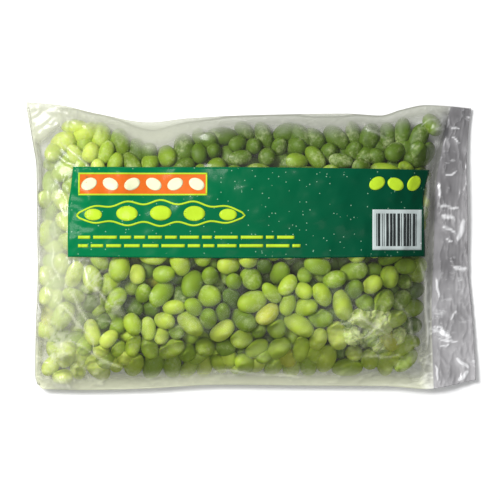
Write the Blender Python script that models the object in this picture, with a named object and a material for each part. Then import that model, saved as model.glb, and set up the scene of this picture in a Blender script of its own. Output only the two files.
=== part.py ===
"""A clear pillow bag of frozen shelled green soybeans, lying on its back.

X runs along the bag, Y across it and Z up, with the origin under the middle of the bag, on the surface it lies on.
Every length below is in millimetres, and MM turns it into Blender's metres.
"""

import math

import bmesh
import bpy
import numpy as np
from mathutils import Matrix, Vector

MM = 0.001

# Outline of the bag seen from above: (along X, Y) for the two folded sides, (along Y, X) for the ends.
TOP_SIDE = ((-139.5, 89.2), (-121.0, 87.8), (-96.0, 82.2), (-63.0, 76.8), (-40.0, 79.2), (0.0, 81.2),
            (58.0, 82.2), (80.0, 81.0), (93.0, 84.6), (108.0, 87.4), (139.5, 85.4))
BOTTOM_SIDE = ((-133.5, -84.8), (-129.0, -88.6), (-104.0, -89.2), (-67.0, -88.4), (-20.0, -85.9),
               (29.0, -86.4), (83.0, -86.8), (108.0, -88.6), (139.5, -83.0))
LEFT_END = ((-87.0, -131.6), (-80.0, -133.6), (-55.0, -133.3), (-13.0, -132.0), (14.0, -132.4),
            (48.0, -132.8), (63.0, -134.9), (76.0, -137.1), (89.2, -139.5))
SEAL_LINE = ((-87.0, 112.6), (-40.0, 111.4), (4.0, 112.8), (24.0, 113.2), (40.0, 114.2), (58.0, 117.4),
             (73.0, 119.8), (86.0, 123.4))
RIGHT_END = ((-84.0, 139.5), (-46.0, 137.5), (-11.0, 134.6), (14.0, 134.4), (50.0, 133.6), (70.0, 134.6),
             (85.4, 136.6))
# How far the heap of beans stands back from the bag's far side, (along X, distance): the film lies slack there.
HEAP_SLACK = ((-139.5, 19.0), (-131.0, 16.5), (-121.5, 8.0), (-108.0, 0.3), (-94.5, 0.2), (-82.0, 1.4),
              (-70.0, 6.3), (-61.0, 8.8), (-48.0, 5.9), (-39.0, 3.9), (-27.0, 2.4), (-11.0, 0.0),
              (24.0, 0.0), (39.5, 2.6), (54.0, 2.6), (69.0, 0.0), (139.5, 0.0))
# How far the heap stands back from the seal line, (along Y, distance).
SEAL_SLACK = ((-87.0, 4.5), (10.0, 4.0), (40.0, 3.0), (62.0, 2.6), (86.0, 2.6))

# The pillow: its thickness between the folds, and how full it is from the middle out to its edges.
THICKNESS = 30.2
FOLD_HEIGHT = 6.0
LEFT_POWER, RIGHT_POWER, ALONG_ROOT = 12.0, 6.0, 0.6  # the left end is blunter
ACROSS_POWER, ACROSS_ROOT = 3.0, 0.65
FILM_SLACK = 0.5  # how much of the heap's slack the film follows
FLAT_SHARE = 2.2  # the underside lies flat wherever the bag is fuller than one part in this
UNDERSIDE_CURL = 1.5

# Film: nested envelopes for its outer skin, its inner skin and the beans.
OUTER_RIM = 0.8  # height of the welded edge all round
INNER_RIM = 0.4
WALL = 0.4
TOP_WALL = 0.5
SIDE_WALL = 1.0
HEAP_INSET = 2.6
NEAR_SLACK = 4.0  # how far the heap stands back from the near side
BEAN_BASE = 1.1
BEAN_THICKNESS = 28.2
FILM_COLUMNS, FILM_ROWS = 22, 15
EDGE_SHARE = 0.38  # where one more line of the grid splits each outermost cell
SEAL_COLUMNS = 3
SEAL_DROOP = 3.0
SEAL_WAVE, WAVE_STEP = 0.9, 21.0
VENT_AT = (62.0, 30.0)
VENT_RADIUS, VENT_DEPTH = 1.5, 2.0
VENT_SIDES = 10

# The left seal, folded back under the bag.
TUCK_LIFT = 1.5
TUCK_FROM, TUCK_TO = 27.0, 36.0  # from the left end
TUCK_LENGTH = 25.0
TUCK_LOW, TUCK_HIGH = -76.0, 70.0  # along Y
TUCK_THICK = 0.7
TUCK_ROWS = 10

# The printed band on the front.
BAND_TOP = ((-109.5, 48.6), (0.0, 48.4), (110.0, 46.9))
BAND_BOTTOM = ((-112.4, -6.6), (0.0, -7.4), (107.0, -6.4))
BAND_LEFT = ((-7.0, -112.4), (24.0, -112.3), (36.0, -110.6), (48.6, -109.4))
BAND_RIGHT = ((-6.6, 107.2), (9.0, 106.8), (26.0, 105.9), (38.0, 107.6), (47.0, 110.2))
BAND_WIDE = 48.0
BAND_GAP = 0.6
BAND_THICK = 0.35
BAND_COLUMNS, BAND_ROWS = 24, 6

# Beans: half-length, half-width and half-thickness of the middling one.
BEAN_COUNT = 408
BEAN_HALF = (8.5, 6.1, 5.3)
SIZE_RANGE = (0.80, 1.14)
STRETCH_RANGE = (0.90, 1.12)
END_BALL = 0.8  # size of a bean's end balls beside its middle one, while packing
SEED = 7
HEAP_ALONG, HEAP_ACROSS = (-130.0, 115.0), (-84.0, 84.0)  # where beans start, before they are packed
PACK_STEPS = 260
PAIR_STEPS = 8
FLAT_TILT = 0.55
STEEPEST = 4.0
MOST_PUSH = 2.5
PUSH = 1.4
SLOPE_STEP = 0.25
ROLL_SPREAD = 0.6
TRIM = 0.96  # beans as built beside beans as packed, so that they only just touch

# The fused heap: the beans against the film stand out of a smaller core.
CORE_DEPTH = 3.8
CORE_INSET = 7.5
CORE_COLUMNS, CORE_ROWS = 14, 10
TOP_LAYER, BOTTOM_LAYER = 7.8, 6.3  # how deep a bean's middle lies at most
EDGE_REACH = 9.0
BEAN_SIDES = 5
BEAN_RING_AT, BEAN_RING_THICK = 0.47, 0.95

FILM_COLOUR = (0.86, 0.88, 0.86, 1.0)
BAND_COLOUR = (0.005, 0.16, 0.07, 1.0)
BEAN_COLOUR = (0.30, 0.42, 0.04, 1.0)


def along_points(points, t):
    """The smooth curve through (t, value) points, read at t. It never swings past its points."""
    knots = np.array(points)
    at, value = knots[:, 0], knots[:, 1]
    t = np.clip(t, at[0], at[-1])
    steps = np.diff(value) / np.diff(at)
    before, after = steps[:-1], steps[1:]
    turns = before * after <= 0
    inner = np.where(turns, 0, 2 * before * after / np.where(turns, 1, before + after))
    slope = np.concatenate([steps[:1], inner, steps[-1:]])
    i = np.clip(np.searchsorted(at, t) - 1, 0, len(at) - 2)
    span = at[i + 1] - at[i]
    f = (t - at[i]) / span
    return (
        value[i] * (1 + 2 * f) * (1 - f) ** 2
        + slope[i] * span * f * (1 - f) ** 2
        + value[i + 1] * f * f * (3 - 2 * f)
        + slope[i + 1] * span * f * f * (f - 1)
    )


def smooth_step(t):
    t = np.clip(t, 0, 1)
    return t * t * (3 - 2 * t)


def far_side(x, slack):
    """Y of the bag's far side at x, set back by a share of the heap's slack."""
    return along_points(TOP_SIDE, x) - slack * along_points(HEAP_SLACK, x)


def envelope(x, y, limits, base, thickness):
    """(underside, top) at x, y of a pillow that ends at the limits (left, right, low, high)."""
    left, right, low, high = limits
    along = (2 * x - left - right) / (right - left)
    across = np.abs((2 * y - low - high) / (high - low))
    power = np.where(along < 0, LEFT_POWER, RIGHT_POWER)
    full = (
        np.clip(1 - np.abs(along) ** power, 0, 1) ** ALONG_ROOT
        * np.clip(1 - across**ACROSS_POWER, 0, 1) ** ACROSS_ROOT
    )
    curl = FOLD_HEIGHT * np.clip(1 - FLAT_SHARE * full, 0, 1) ** UNDERSIDE_CURL
    from_left = x - along_points(LEFT_END, y)
    tucked = TUCK_LIFT * smooth_step((TUCK_TO - from_left) / (TUCK_TO - TUCK_FROM))
    top = base + curl + thickness * full
    return np.minimum(base + np.maximum(curl, tucked), top), top


def film_limits(x, y, inset=0.0):
    """Left, right, low and high edges of the film's pillow at x, y, drawn in by inset."""
    return (
        along_points(LEFT_END, y) + inset,
        along_points(SEAL_LINE, y) - inset,
        along_points(BOTTOM_SIDE, x) + inset,
        far_side(x, FILM_SLACK) - inset,
    )


def heap_limits(x, y):
    """Left, right, low and high edges of the heap of beans at x, y."""
    return (
        along_points(LEFT_END, y) + HEAP_INSET,
        along_points(SEAL_LINE, y) - along_points(SEAL_SLACK, y),
        along_points(BOTTOM_SIDE, x) + NEAR_SLACK,
        far_side(x, 1.0) - HEAP_INSET,
    )


def bean_envelope(x, y):
    return envelope(x, y, heap_limits(x, y), BEAN_BASE, BEAN_THICKNESS)


def even_to_fine(count):
    """Numbers from 0 to 1 that lie closer together towards both ends."""
    t = np.linspace(0, 1, count + 1)
    return (t + 0.5 - 0.5 * np.cos(math.pi * t)) / 2


def split_edges(t):
    """The same numbers from 0 to 1, with one more near each end."""
    edge = EDGE_SHARE * t[1]
    return np.concatenate([[0, edge], t[1:-1], [1 - edge, 1]])


def plan_grid(columns, rows, inset, right_end=SEAL_LINE, left_end=LEFT_END, slack=0.0):
    """x and y of a grid that fills the outline between two ends, drawn in by inset."""
    u, v = np.meshgrid(columns, rows, indexing="ij")
    y = np.zeros_like(u)
    for _ in range(6):
        left, right = along_points(left_end, y) + inset, along_points(right_end, y) - inset
        x = left + (right - left) * u
        low, high = along_points(BOTTOM_SIDE, x) + inset, far_side(x, slack) - inset
        y = low + (high - low) * v
    return x, y


def solid_between(x, y, under, over):
    """Vertices and faces of the closed solid between two height fields on one grid."""
    columns, rows = x.shape
    points = [(x[i, j], y[i, j], z[i, j]) for z in (under, over) for i in range(columns) for j in range(rows)]
    upper = columns * rows

    def at(i, j):
        return i * rows + j

    faces = []
    for i in range(columns - 1):
        for j in range(rows - 1):
            cell = (at(i, j), at(i + 1, j), at(i + 1, j + 1), at(i, j + 1))
            faces.append(cell[::-1])
            faces.append(tuple(upper + k for k in cell))
    ring = [at(i, 0) for i in range(columns)]
    ring += [at(columns - 1, j) for j in range(1, rows)]
    ring += [at(i, rows - 1) for i in range(columns - 2, -1, -1)]
    ring += [at(0, j) for j in range(rows - 2, 0, -1)]
    for a, b in zip(ring, ring[1:] + ring[:1]):
        faces.append((a, b, upper + b, upper + a))
    return points, faces


def mesh_of(name, parts):
    """A mesh made of (points, faces) parts, in metres."""
    made = bmesh.new()
    for points, faces in parts:
        verts = [made.verts.new(Vector(p) * MM) for p in points]
        for face in faces:
            made.faces.new([verts[k] for k in face])
    mesh = bpy.data.meshes.new(name)
    made.to_mesh(mesh)
    made.free()
    return mesh


def add_object(name, mesh, material=None):
    made = bpy.data.objects.new(name, mesh)
    bpy.context.scene.collection.objects.link(made)
    if material:
        mesh.materials.append(material)
    return made


def plain_material(name, colour, roughness, alpha=1.0):
    made = bpy.data.materials.new(name)
    made.use_nodes = True
    shader = made.node_tree.nodes["Principled BSDF"]
    shader.inputs["Base Color"].default_value = colour
    shader.inputs["Roughness"].default_value = roughness
    shader.inputs["Metallic"].default_value = 0.0
    shader.inputs["Alpha"].default_value = alpha
    return made


def apply_boolean(target, cutter, operation, solver="EXACT"):
    """Joins or cuts target with an object or a collection, and keeps the result as its mesh."""
    boolean = target.modifiers.new("join", "BOOLEAN")
    boolean.operation = operation
    boolean.solver = solver
    if isinstance(cutter, bpy.types.Collection):
        boolean.operand_type = "COLLECTION"
        boolean.collection = cutter
        used = list(cutter.objects)
    else:
        boolean.object = cutter
        used = [cutter]
    graph = bpy.context.evaluated_depsgraph_get()
    mesh = bpy.data.meshes.new_from_object(target.evaluated_get(graph))
    target.modifiers.remove(boolean)
    mesh.name = target.name
    target.data = mesh
    for helper in used:
        bpy.data.objects.remove(helper)


def keep_largest_body(obj):
    """Fills the hollows that fusing sealed and drops loose scraps, by keeping the body with the most points."""
    made = bmesh.new()
    made.from_mesh(obj.data)
    unseen = set(made.verts)
    bodies = []
    while unseen:
        body, edge = set(), {unseen.pop()}
        while edge:
            body |= edge
            edge = {e.other_vert(v) for v in edge for e in v.link_edges} - body
        unseen -= body
        bodies.append(body)
    largest = max(bodies, key=len)
    bmesh.ops.delete(made, geom=[v for v in made.verts if v not in largest], context="VERTS")
    made.to_mesh(obj.data)
    made.free()


def pack_beans():
    """Centres, long axes, sizes and stretches of loose beans pressed together inside the bag.

    Each bean is three balls in a row. Balls that overlap push each other apart and the bag pushes them in, and
    each bean then takes the place that fits its three balls best.
    """
    draw = np.random.default_rng(SEED)
    size = draw.uniform(*SIZE_RANGE, BEAN_COUNT)
    stretch = draw.uniform(*STRETCH_RANGE, BEAN_COUNT)
    half = BEAN_HALF[0] * size * stretch
    middle = (BEAN_HALF[1] + BEAN_HALF[2]) / 2 * size / np.sqrt(stretch)
    radii = np.stack([middle * END_BALL, middle, middle * END_BALL], 1)
    reach = half - middle * END_BALL
    places = []
    while len(places) < BEAN_COUNT:
        x, y = draw.uniform(*HEAP_ALONG), draw.uniform(*HEAP_ACROSS)
        share = draw.uniform()
        low, high = (float(z) for z in bean_envelope(x, y))
        room = high - low - 2 * BEAN_HALF[2]
        if room > 0:
            places.append((x, y, low + BEAN_HALF[2] + share * room))
    centre = np.array(places)
    axis = draw.uniform(-1, 1, (BEAN_COUNT, 3)) * (1, 1, FLAT_TILT)
    axis /= np.linalg.norm(axis, axis=1)[:, None]
    row = np.array([-1.0, 0.0, 1.0])
    for step in range(PACK_STEPS):
        if step % PAIR_STEPS == 0:
            apart = np.linalg.norm(centre[:, None] - centre[None], axis=2)
            one, two = np.nonzero(np.triu(apart < 2.25 * BEAN_HALF[0], 1))
        balls = centre[:, None] + row[None, :, None] * reach[:, None, None] * axis[:, None]
        balls += push_apart(balls, radii, one, two)
        push_inside(balls, radii)
        centre = balls.mean(1)
        axis = balls[:, 2] - balls[:, 0]
        axis /= np.linalg.norm(axis, axis=1)[:, None]
    return centre, axis, size, stretch


def push_apart(balls, radii, one, two):
    """How far each ball moves to clear the balls of the beans near it."""
    shift = np.zeros_like(balls)
    hits = np.zeros(radii.shape)
    for i in range(3):
        for j in range(3):
            between = balls[one, i] - balls[two, j]
            apart = np.linalg.norm(between, axis=1) + 1e-9
            deep = radii[one, i] + radii[two, j] - apart
            hit = deep > 0
            push = between[hit] / apart[hit, None] * deep[hit, None] / 2
            np.add.at(shift, (one[hit], i), push)
            np.add.at(shift, (two[hit], j), -push)
            np.add.at(hits, (one[hit], i), 1)
            np.add.at(hits, (two[hit], j), 1)
    return shift / np.maximum(hits, 1)[:, :, None] * PUSH


def push_inside(balls, radii):
    """Moves the balls that reach past the bag's top, underside or outline back inside."""
    x, y, z = balls[..., 0], balls[..., 1], balls[..., 2]
    here = bean_envelope(x, y)
    beside = bean_envelope(x + SLOPE_STEP, y)
    behind = bean_envelope(x, y + SLOPE_STEP)
    moved = np.zeros_like(balls)
    for side, sign in ((0, -1), (1, 1)):
        slope_x = np.clip((beside[side] - here[side]) / SLOPE_STEP, -STEEPEST, STEEPEST)
        slope_y = np.clip((behind[side] - here[side]) / SLOPE_STEP, -STEEPEST, STEEPEST)
        steep = np.sqrt(1 + slope_x**2 + slope_y**2)
        past = np.clip(sign * (z - here[side]) / steep + radii, 0, MOST_PUSH)
        normal = np.stack([-slope_x, -slope_y, np.ones_like(z)], -1) / steep[..., None]
        moved -= sign * normal * past[..., None]
    balls += moved
    left, right, low, high = heap_limits(x, y)
    x[...] = np.clip(x, left + radii, right - radii)
    y[...] = np.clip(y, low + radii, high - radii)


def bean_matrices():
    """One matrix for each bean, whose columns are its half-length, half-width and half-thickness."""
    centre, axis, size, stretch = pack_beans()
    roll = np.random.default_rng(SEED + 1).uniform(-ROLL_SPREAD, ROLL_SPREAD, BEAN_COUNT)
    made = []
    for place, along, s, longer, turn in zip(centre, axis, size, stretch, roll):
        along = Vector(along)
        across = Vector((0, 0, 1)).cross(along)
        if across.length < 0.1:
            across = Vector((1, 0, 0)).cross(along)
        across = Matrix.Rotation(turn, 3, along) @ across.normalized()
        thick = along.cross(across)
        half = (BEAN_HALF[0] * longer, BEAN_HALF[1] / math.sqrt(longer), BEAN_HALF[2] / math.sqrt(longer))
        columns = [direction * h * s * TRIM for direction, h in zip((along, across, thick), half)]
        matrix = Matrix([(*row, 0) for row in zip(*columns)] + [(0, 0, 0, 1)])
        matrix.translation = Vector(place)
        made.append(matrix)
    return made


def bean_solid(matrix):
    """Vertices and faces of one plain bean: two ends and two staggered rings."""
    points = [matrix @ Vector((-1, 0, 0)), matrix @ Vector((1, 0, 0))]
    for along, stagger in ((-BEAN_RING_AT, 0.0), (BEAN_RING_AT, 0.5)):
        for k in range(BEAN_SIDES):
            turn = 2 * math.pi * (k + stagger) / BEAN_SIDES
            across, up = BEAN_RING_THICK * math.cos(turn), BEAN_RING_THICK * math.sin(turn)
            points.append(matrix @ Vector((along, across, up)))
    faces = []
    for k in range(BEAN_SIDES):
        after = (k + 1) % BEAN_SIDES
        near, near_after = 2 + k, 2 + after
        far, far_after = near + BEAN_SIDES, near_after + BEAN_SIDES
        faces.append((0, near_after, near))
        faces.append((near, near_after, far))
        faces.append((near_after, far_after, far))
        faces.append((1, far, far_after))
    return points, faces


def in_outer_layer(matrix):
    """True for a bean that lies against the film, above, below or at an edge."""
    x, y, z = matrix.translation
    low, high = bean_envelope(x, y)
    around = EDGE_REACH * np.array([(-1, 0), (1, 0), (0, -1), (0, 1)])
    edge_low, edge_high = bean_envelope(x + around[:, 0], y + around[:, 1])
    by_an_edge = (edge_high - edge_low).min() < BEAN_HALF[2]
    return by_an_edge or z - low < BOTTOM_LAYER or high - z < TOP_LAYER


def heap_of_beans(material):
    """The heap as one solid: a core under the beans' skin, and every bean of the outer layer sunk into it."""
    x, y = plan_grid(even_to_fine(CORE_COLUMNS), even_to_fine(CORE_ROWS), CORE_INSET, slack=1.0)
    low, high = bean_envelope(x, y)
    middle = (low + high) / 2
    half = np.maximum((high - low) / 2 - CORE_DEPTH, 1.5)
    heap = add_object("beans", mesh_of("beans", [solid_between(x, y, middle - half, middle + half)]), material)
    repeats = bpy.data.collections.new("bean repeats")
    bpy.context.scene.collection.children.link(repeats)
    for number, matrix in enumerate(filter(in_outer_layer, bean_matrices())):
        bean = bpy.data.objects.new(f"bean {number}", mesh_of("bean", [bean_solid(matrix)]))
        repeats.objects.link(bean)
    print("beans in the outer layer:", len(repeats.objects))
    apply_boolean(heap, repeats, "UNION", "MANIFOLD")
    bpy.data.collections.remove(repeats)
    keep_largest_body(heap)
    return heap


def film_bag(material):
    """The bag: two nested skins with the beans' space between them, the flat seal, the tucked seal and a vent."""
    columns, rows = split_edges(even_to_fine(FILM_COLUMNS)), split_edges(even_to_fine(FILM_ROWS))
    x, y = plan_grid(columns, rows, 0)
    low, high = envelope(x, y, film_limits(x, y), 0, THICKNESS)
    seal = np.linspace(0, 1, SEAL_COLUMNS + 1)[1:]
    seal_x, seal_y = plan_grid(seal, rows, 0, RIGHT_END, SEAL_LINE)
    droop = FOLD_HEIGHT - SEAL_DROOP * smooth_step(seal)[:, None]
    seal_low = droop + SEAL_WAVE * seal[:, None] * np.sin(seal_y / WAVE_STEP)
    outer = solid_between(
        np.vstack([x, seal_x]),
        np.vstack([y, seal_y]),
        np.vstack([low, seal_low]),
        np.vstack([high + OUTER_RIM, seal_low + OUTER_RIM]),
    )
    x, y = plan_grid(columns, rows, SIDE_WALL)
    low, high = envelope(x, y, film_limits(x, y, SIDE_WALL), WALL, THICKNESS - TOP_WALL)
    points, faces = solid_between(x, y, low, high + INNER_RIM)
    inner = points, [face[::-1] for face in faces]
    bag = add_object("film_bag", mesh_of("film_bag", [outer, inner]), material)
    apply_boolean(bag, tucked_seal(), "UNION")
    apply_boolean(bag, vent_cutter(), "DIFFERENCE")
    return bag


def tucked_seal():
    """The left seal: it leaves the bag's end, turns down and lies flat under the bag."""
    path = ((1.0, 6.4), (0.0, 5.9), (-0.6, 4.6), (-0.7, 3.0), (-0.2, 1.5), (1.2, 0.5), (3.2, 0.35),
            (TUCK_LENGTH, 0.35))
    sides = []
    for i, (x, z) in enumerate(path):
        before, after = path[max(i - 1, 0)], path[min(i + 1, len(path) - 1)]
        run, rise = after[0] - before[0], after[1] - before[1]
        length = math.hypot(run, rise)
        sides.append((x, z, -rise / length * TUCK_THICK / 2, run / length * TUCK_THICK / 2))
    profile = [(x + nx, z + nz) for x, z, nx, nz in sides] + [(x - nx, z - nz) for x, z, nx, nz in sides[::-1]]
    points, faces = [], []
    for y in np.linspace(TUCK_LOW, TUCK_HIGH, TUCK_ROWS + 1):
        end = float(along_points(LEFT_END, y))
        points += [(end + x, y, max(z, 0.0)) for x, z in profile]
    count = len(profile)
    for row in range(TUCK_ROWS):
        for k in range(count):
            a, b = row * count + k, row * count + (k + 1) % count
            faces.append((a, a + count, b + count, b))
    faces.append(tuple(range(count)))
    faces.append(tuple(range(TUCK_ROWS * count, (TUCK_ROWS + 1) * count))[::-1])
    mesh = mesh_of("tucked seal", [(points, faces)])
    face_out(mesh)
    return add_object("tucked seal", mesh)


def face_out(mesh):
    made = bmesh.new()
    made.from_mesh(mesh)
    bmesh.ops.recalc_face_normals(made, faces=made.faces)
    made.to_mesh(mesh)
    made.free()


def vent_cutter():
    """A pin that pierces the back of the bag once, as the maker's vent does."""
    made = bmesh.new()
    bmesh.ops.create_cone(
        made, cap_ends=True, segments=VENT_SIDES, depth=VENT_DEPTH * MM,
        radius1=VENT_RADIUS * MM, radius2=VENT_RADIUS * MM,
        matrix=Matrix.Translation(Vector((*VENT_AT, 0)) * MM),
    )
    mesh = bpy.data.meshes.new("vent cutter")
    made.to_mesh(mesh)
    made.free()
    return add_object("vent cutter", mesh)


def printed_band(material):
    """The opaque band printed across the front of the film."""
    u, v = np.meshgrid(np.linspace(0, 1, BAND_COLUMNS + 1), np.linspace(0, 1, BAND_ROWS + 1), indexing="ij")
    y = BAND_WIDE * v
    for _ in range(4):
        left, right = along_points(BAND_LEFT, y), along_points(BAND_RIGHT, y)
        x = left + (right - left) * u
        low, high = along_points(BAND_BOTTOM, x), along_points(BAND_TOP, x)
        y = low + (high - low) * v
    under = envelope(x, y, film_limits(x, y), 0, THICKNESS)[1] + OUTER_RIM + BAND_GAP
    return add_object(
        "printed_band", mesh_of("printed_band", [solid_between(x, y, under, under + BAND_THICK)]), material
    )


def main():
    for old in list(bpy.data.objects):
        bpy.data.objects.remove(old)
    heap_of_beans(plain_material("beans", BEAN_COLOUR, 0.5))
    film_bag(plain_material("film", FILM_COLOUR, 0.15, 0.35))
    printed_band(plain_material("band", BAND_COLOUR, 0.3))
    for made in bpy.context.scene.objects:
        made.data.shade_smooth()
        made.data.set_sharp_from_angle(angle=math.radians(50))


main()
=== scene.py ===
"""The looks of a clear pillow bag of frozen shelled green soybeans, lying on its back.

Lengths are in millimetres, in the frame of the solids, and MM turns them into metres.
"""

import math

import bpy
import numpy as np
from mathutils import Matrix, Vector, noise


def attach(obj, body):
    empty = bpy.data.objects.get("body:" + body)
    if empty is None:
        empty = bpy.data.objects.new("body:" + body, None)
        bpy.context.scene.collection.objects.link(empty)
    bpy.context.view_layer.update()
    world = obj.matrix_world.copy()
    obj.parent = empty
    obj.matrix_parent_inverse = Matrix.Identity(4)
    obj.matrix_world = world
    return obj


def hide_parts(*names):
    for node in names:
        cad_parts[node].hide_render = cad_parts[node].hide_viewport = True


MM = 0.001

# Outline of the bag seen from above: (along X, Y) for the two folded sides, (along Y, X) for the ends.
TOP_SIDE = ((-139.5, 89.2), (-121.0, 87.8), (-96.0, 82.2), (-63.0, 76.8), (-40.0, 79.2), (0.0, 81.2),
            (58.0, 82.2), (80.0, 81.0), (93.0, 84.6), (108.0, 87.4), (139.5, 85.4))
BOTTOM_SIDE = ((-133.5, -84.8), (-129.0, -88.6), (-104.0, -89.2), (-67.0, -88.4), (-20.0, -85.9),
               (29.0, -86.4), (83.0, -86.8), (108.0, -88.6), (139.5, -83.0))
LEFT_END = ((-87.0, -131.6), (-80.0, -133.6), (-55.0, -133.3), (-13.0, -132.0), (14.0, -132.4),
            (48.0, -132.8), (63.0, -134.9), (76.0, -137.1), (89.2, -139.5))
SEAL_LINE = ((-87.0, 112.6), (-40.0, 111.4), (4.0, 112.8), (24.0, 113.2), (40.0, 114.2), (58.0, 117.4),
             (73.0, 119.8), (86.0, 123.4))
RIGHT_END = ((-84.0, 139.5), (-46.0, 137.5), (-11.0, 134.6), (14.0, 134.4), (50.0, 133.6), (70.0, 134.6),
             (85.4, 136.6))
# How far the heap of beans stands back from the bag's far side, (along X, distance), where the film is slack.
HEAP_SLACK = ((-139.5, 19.0), (-131.0, 16.5), (-121.5, 8.0), (-108.0, 0.3), (-94.5, 0.2), (-82.0, 1.4),
              (-70.0, 6.3), (-61.0, 8.8), (-48.0, 5.9), (-39.0, 3.9), (-27.0, 2.4), (-11.0, 0.0),
              (24.0, 0.0), (39.5, 2.6), (54.0, 2.6), (69.0, 0.0), (139.5, 0.0))
# How far the heap stands back from the seal line, (along Y, distance).
SEAL_SLACK = ((-87.0, 4.5), (10.0, 4.0), (40.0, 3.0), (62.0, 2.6), (86.0, 2.6))

# The pillow, as in the solids.
THICKNESS = 30.2
FOLD_HEIGHT = 6.0  # height of the bag's edges
LEFT_POWER, RIGHT_POWER, ALONG_ROOT = 12.0, 6.0, 0.6  # the left end is blunter
ACROSS_POWER, ACROSS_ROOT = 3.0, 0.65
FILM_SLACK = 0.5  # share of the heap's slack that the pillow takes too
FLAT_SHARE = 2.2  # the higher, the more of the underside lies flat
UNDERSIDE_CURL = 1.5
HEAP_INSET = 2.6
NEAR_SLACK = 4.0
BEAN_BASE = 1.1
BEAN_THICKNESS = 28.2
SEAL_DROOP = 3.0
SEAL_WAVE, WAVE_STEP = 0.9, 21.0
CRIMP_STEP, CRIMP_HIGH = 2.2, 0.04
CRIMPS_FROM, CRIMPS_OVER = 0.55, 0.1  # where the seal's crimps set in, as shares of its width

# The left seal, tucked under the bag.
TUCK_LIFT = 1.5  # how far it lifts the underside
TUCK_FROM, TUCK_TO = 27.0, 36.0  # where that lift fades, from the left end
TUCK_LENGTH = 25.0
TUCK_LOW, TUCK_HIGH = -86.0, 86.0
TUCK_THICK, TUCK_CLEAR = 0.3, 0.8  # the seal's thickness, and how far below the bag it lies
TUCK_PATH = ((1.0, 6.4), (0.0, 5.9), (-0.6, 4.6), (-0.7, 3.0), (-0.2, 1.5), (1.2, 0.5), (3.2, 0.35),
             (TUCK_LENGTH, 0.35))  # (from the left end, up)
TUCK_COLUMNS, TUCK_BEND_COLUMNS, TUCK_ROWS = 90, 24, 86
TUCK_CRIMPS_OVER = 3.0
TUCK_LOWEST = 0.02
TUCK_MILKY = (0.6, 0.1)  # in its bend, and where it lies flat
TUCK_VALUES = {"gap": 2.0, "painted_crease_glint": 0.1, "seal_and_painted_shade": 0.0}

# Beans.
BEAN_COUNT = 408
BEAN_HALF = (8.5, 6.1, 5.3)
SIZE_RANGE = (0.80, 1.14)
STRETCH_RANGE = (0.90, 1.12)
END_BALL = 0.8
SEED = 7
HEAP_ALONG, HEAP_ACROSS = (-130.0, 115.0), (-84.0, 84.0)
PACK_STEPS = 260
PAIR_STEPS = 8
PAIR_REACH = 2.25 * BEAN_HALF[0]  # beans whose centres are nearer than this are tested
FLAT_TILT = 0.55
UPRIGHT = 0.1
STEEPEST = 4.0
MOST_PUSH = 2.5
PUSH = 1.4
SLOPE_STEP = 0.25
ROLL_SPREAD = 0.6
BEAN_RINGS, BEAN_SIDES = 12, 18
PRESSED = 1.4  # no bean reaches nearer to the bag's outline than this
BLUNTNESS = 0.92  # below 1 the beans' ends are blunter than an ellipse
BEND_RANGE, BEND_BALANCE = (0.02, 0.16), 0.35
TAPER_RANGE = (-0.09, 0.09)
SEAM_HOLLOW = 0.9  # depth of the hollow at the seam, as a share of the bend
LUMP_SIZE, LUMP_DEPTH = 3.4, 0.035
BEAN_PIECES = 3
NO_BEAN = -100.0  # the heap's height where it has no bean
HEAP_REACH = 1.2 * BEAN_HALF[0] * SIZE_RANGE[1]  # further than any bean reaches from its centre
GAP_STEP = 2.0
MOST_FILLERS = 90
FILLER_ROOM, FILLER_CLEAR = 2.2 * BEAN_HALF[2], 1.08
LOOSE = ((-124.0, -74.0, 0.9, 0.85), (-117.0, -81.0, 0.1, 0.80),
         (112.0, 75.0, -0.9, 0.92))  # X, Y, turn and size of the beans in the corners
CLUMP_AT = (74.0, -50.0)  # beans crushed and frosted together
CRUSHED = ((78.5, -46.5, 9.5, 10.0, 0.4), (66.5, -43.5, 8.0, 5.5, 0.2), (61.5, -55.0, 8.5, 6.5, -0.5),
           (77.5, -61.0, 6.0, 4.5, 0.1), (90.0, -55.5, 7.0, 5.5, 0.9))  # X, Y, half-sizes, turn
CRUSHED_HIGH, CRUSHED_LIFT = 5.5, 0.4
CRUSHED_RINGS, CRUSHED_SIDES, POLE_GAP = 28, 44, 0.02
CRUSHED_CORE, CRUSHED_RIDGE = 0.68, 0.35  # shares of the half-size that the core and its ridges take
CRUSHED_NOISE, CRUSHED_SHIFT, CRUSHED_FOLDS = 1.1, 9.0, (0.9, 2.0, 2)
CRUSHED_TINT = 0.75
FROSTED_REACH = (15, 12)

# Tint from 0, dark, to 1, pale, with painted light and shade laid over it as (start, length, amount): paler
# towards the left and the near side, darkened as shade on the far side and deep in the heap. A negative
# length runs towards lower numbers. The far side's painted shade is scaled by a rise along X, and the deep
# one counts from the heap's top down.
TINT_RANGE = (0.1, 0.9)
PAINTED_LIGHT_LEFT, PAINTED_LIGHT_NEAR = (-50.0, -50.0, 0.45), (-45.0, -15.0, 0.22)
PAINTED_SHADE_FAR, PAINTED_SHADE_RIGHT = (35.0, 25.0, 0.72), (-100.0, 50.0, 1.0)
PAINTED_SHADE_DEEP = (7.0, 5.0, 0.6)

# Film grid and how it drapes over the beans.
FILM_COLUMNS, SEAL_COLUMNS, FILM_ROWS = 190, 40, 150
FILM_THICK = 0.12
CONTACT = 0.12
LEAST_ROOM, MOST_GAP = 0.3, 40
PULL = 0.010
DRAPE_STEPS = 500
EDGE_CELLS = 5  # the folds fade out over this many cells at the grid's border

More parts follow.
